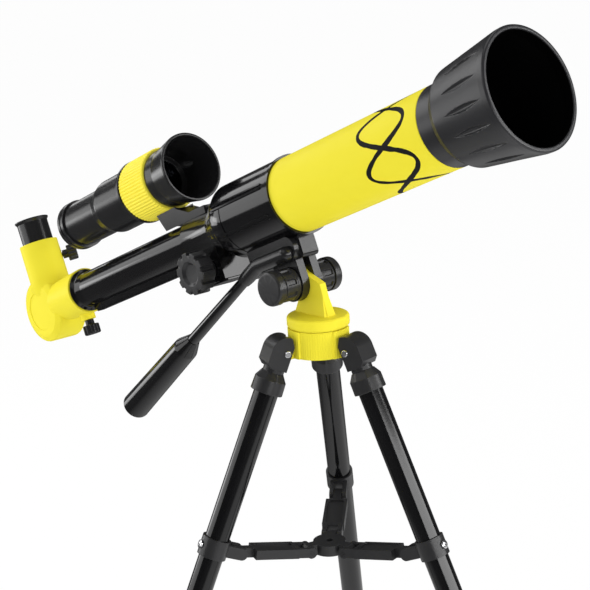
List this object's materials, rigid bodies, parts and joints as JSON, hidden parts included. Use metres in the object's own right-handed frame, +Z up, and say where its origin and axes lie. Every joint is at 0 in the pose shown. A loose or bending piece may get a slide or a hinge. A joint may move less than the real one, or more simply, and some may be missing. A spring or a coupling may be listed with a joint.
{
  "type": "refractor telescope on tripod",
  "caption": "Yellow and black toy refractor telescope with a finder scope, a rack focuser and an angled eyepiece on a folding table tripod with a pan handle.",
  "frame": {"origin": "On the floor, under the middle of the whole telescope's bounding box.", "axes": "+X is the way the telescope looks, +Y its left side, +Z up; the feet stand on z = 0."},
  "size_m": [0.464, 0.2876, 0.4856],
  "materials": {
    "yellow_plastic": "moulded, semi-gloss yellow",
    "gloss_black_plastic": "moulded, glossy black",
    "satin_black_plastic": "moulded, satin black",
    "black_tube": "gloss black enamelled tube",
    "black_rubber": "matt black rubber",
    "bright_steel": "bright plated steel",
    "brass": "turned brass",
    "coated_glass": "clear polished lens",
    "mirror_glass": "silvered flat"
  },
  "bodies": {
    "tripod_top": {"tripod_crown": "yellow_plastic", "hinge_pins": "bright_steel"},
    "spreader": {"spreader_hub": "gloss_black_plastic", "hub_pins": "bright_steel"},
    "pan": {"pan_head": "yellow_plastic", "pan_screw": "bright_steel"},
    "telescope": {"tilt_bracket": "gloss_black_plastic", "handle_socket": "gloss_black_plastic", "handle_rod": "black_tube", "handle_grip": "satin_black_plastic", "main_tube": "yellow_plastic", "lens_hood": "satin_black_plastic", "objective_lens": "coated_glass", "lens_ring": "gloss_black_plastic", "rear_housing": "gloss_black_plastic", "pinion_cover": "gloss_black_plastic", "finder_bracket": "gloss_black_plastic", "finder_bell": "gloss_black_plastic", "finder_ring": "yellow_plastic", "finder_body": "gloss_black_plastic", "finder_eyecup": "gloss_black_plastic", "finder_objective": "coated_glass", "finder_eye_lens": "coated_glass"},
    "tilt_clamp_right": {"tilt_knob_right": "gloss_black_plastic", "tilt_bolt": "bright_steel"},
    "tilt_clamp_left": {"tilt_knob_left": "gloss_black_plastic"},
    "draw": {"draw_tube": "black_tube", "focus_rack": "gloss_black_plastic"},
    "pinion": {"pinion_shaft": "brass", "focus_knob_right": "gloss_black_plastic", "focus_knob_left": "gloss_black_plastic"},
    "diagonal": {"diagonal_body": "yellow_plastic", "diagonal_mirror": "mirror_glass"},
    "eyepiece": {"eyepiece_barrel": "gloss_black_plastic", "eyepiece_lens": "coated_glass"},
    "draw_clamp": {"draw_screw": "gloss_black_plastic"},
    "eyepiece_clamp": {"eyepiece_screw": "gloss_black_plastic"},
    "leg_1": {"leg_bracket_1": "gloss_black_plastic", "leg_collar_1": "gloss_black_plastic", "leg_tube_1": "black_tube", "leg_foot_1": "black_rubber", "spreader_clamp_1": "gloss_black_plastic", "clamp_screw_1": "bright_steel"},
    "arm_1": {"spreader_arm_1": "gloss_black_plastic"},
    "leg_2": {"leg_bracket_2": "gloss_black_plastic", "leg_collar_2": "gloss_black_plastic", "leg_tube_2": "black_tube", "leg_foot_2": "black_rubber", "spreader_clamp_2": "gloss_black_plastic", "clamp_screw_2": "bright_steel"},
    "arm_2": {"spreader_arm_2": "gloss_black_plastic"},
    "leg_3": {"leg_bracket_3": "gloss_black_plastic", "leg_collar_3": "gloss_black_plastic", "leg_tube_3": "black_tube", "leg_foot_3": "black_rubber", "spreader_clamp_3": "gloss_black_plastic", "clamp_screw_3": "bright_steel"},
    "arm_3": {"spreader_arm_3": "gloss_black_plastic"}
  },
  "joints": [
    {"name": "leg_1_fold", "type": "hinge", "parent": "tripod_top", "child": "leg_1", "pos_m": [0.08925, 0.01795, 0.30617], "axis": [-0.1771, 0.9842, 0], "range_deg": [0, 8]},
    {"name": "leg_2_fold", "type": "hinge", "parent": "tripod_top", "child": "leg_2", "pos_m": [0.05296, 0.03101, 0.30617], "axis": [-0.7638, -0.6455, 0], "range_deg": [0, 8]},
    {"name": "leg_3_fold", "type": "hinge", "parent": "tripod_top", "child": "leg_3", "pos_m": [0.05979, -0.00695, 0.30617], "axis": [0.9409, -0.3387, 0], "range_deg": [0, 8]},
    {"name": "spreader_slide", "type": "slide", "parent": "tripod_top", "child": "spreader", "axis": [0, 0, -1], "range_m": [0, 0.0327]},
    {"name": "arm_1_hinge", "type": "hinge", "parent": "spreader", "child": "arm_1", "pos_m": [0.08072, 0.01641, 0.1853], "axis": [0.1771, -0.9842, 0], "range_deg": [0, 44.5]},
    {"name": "arm_2_hinge", "type": "hinge", "parent": "spreader", "child": "arm_2", "pos_m": [0.05855, 0.02439, 0.1853], "axis": [0.7638, 0.6455, 0], "range_deg": [0, 44.5]},
    {"name": "arm_3_hinge", "type": "hinge", "parent": "spreader", "child": "arm_3", "pos_m": [0.06273, 0.00121, 0.1853], "axis": [-0.9409, 0.3387, 0], "range_deg": [0, 44.5]},
    {"name": "pan_turn", "type": "hinge", "parent": "tripod_top", "child": "pan", "pos_m": [0.06733, 0.014, 0.31767], "axis": [0, 0, 1], "continuous": true},
    {"name": "tilt", "type": "hinge", "parent": "pan", "child": "telescope", "pos_m": [0.05433, 0.014, 0.34132], "axis": [0, -1, 0], "range_deg": [-30, 25]},
    {"name": "tilt_clamp_right_turn", "type": "hinge", "parent": "telescope", "child": "tilt_clamp_right", "pos_m": [0.05433, 0.00645, 0.34132], "axis": [0, -1, 0], "range_deg": [0, 360]},
    {"name": "tilt_clamp_left_turn", "type": "hinge", "parent": "telescope", "child": "tilt_clamp_left", "pos_m": [0.05433, 0.02155, 0.34132], "axis": [0, 1, 0], "range_deg": [0, 360]},
    {"name": "focus_slide", "type": "slide", "parent": "telescope", "child": "draw", "axis": [-0.9281, 0, -0.3723], "range_m": [-0.006, 0.04]},
    {"name": "pinion_turn", "type": "hinge", "parent": "telescope", "child": "pinion", "pos_m": [-0.01126, 0.014, 0.34151], "axis": [0, -1, 0], "range_deg": [-75, 450]},
    {"name": "diagonal_turn", "type": "hinge", "parent": "draw", "child": "diagonal", "pos_m": [-0.15868, 0.014, 0.30478], "axis": [0.9281, 0, 0.3723], "range_deg": [-180, 180]},
    {"name": "eyepiece_slide", "type": "slide", "parent": "diagonal", "child": "eyepiece", "axis": [-0.3723, 0, 0.9281], "range_m": [0, 0.025]},
    {"name": "draw_clamp_turn", "type": "hinge", "parent": "diagonal", "child": "draw_clamp", "pos_m": [-0.16057, 0.014, 0.28398], "axis": [0.3723, 0, -0.9281], "range_deg": [0, 360]},
    {"name": "eyepiece_clamp_turn", "type": "hinge", "parent": "diagonal", "child": "eyepiece_clamp", "pos_m": [-0.2034, 0.02545, 0.32132], "axis": [0.4918, 0.848, 0.1973], "range_deg": [0, 360]}
  ],
  "couplings": [
    {"joint": "leg_2_fold", "follows": "leg_1_fold", "ratio": 1},
    {"joint": "leg_3_fold", "follows": "leg_1_fold", "ratio": 1},
    {"joint": "spreader_slide", "follows": "leg_1_fold", "m_per_rad": 0.2306},
    {"joint": "arm_1_hinge", "follows": "leg_1_fold", "ratio": 5.502},
    {"joint": "arm_2_hinge", "follows": "leg_1_fold", "ratio": 5.502},
    {"joint": "arm_3_hinge", "follows": "leg_1_fold", "ratio": 5.502},
    {"joint": "pinion_turn", "follows": "focus_slide", "rad_per_m": 192.31}
  ]
}
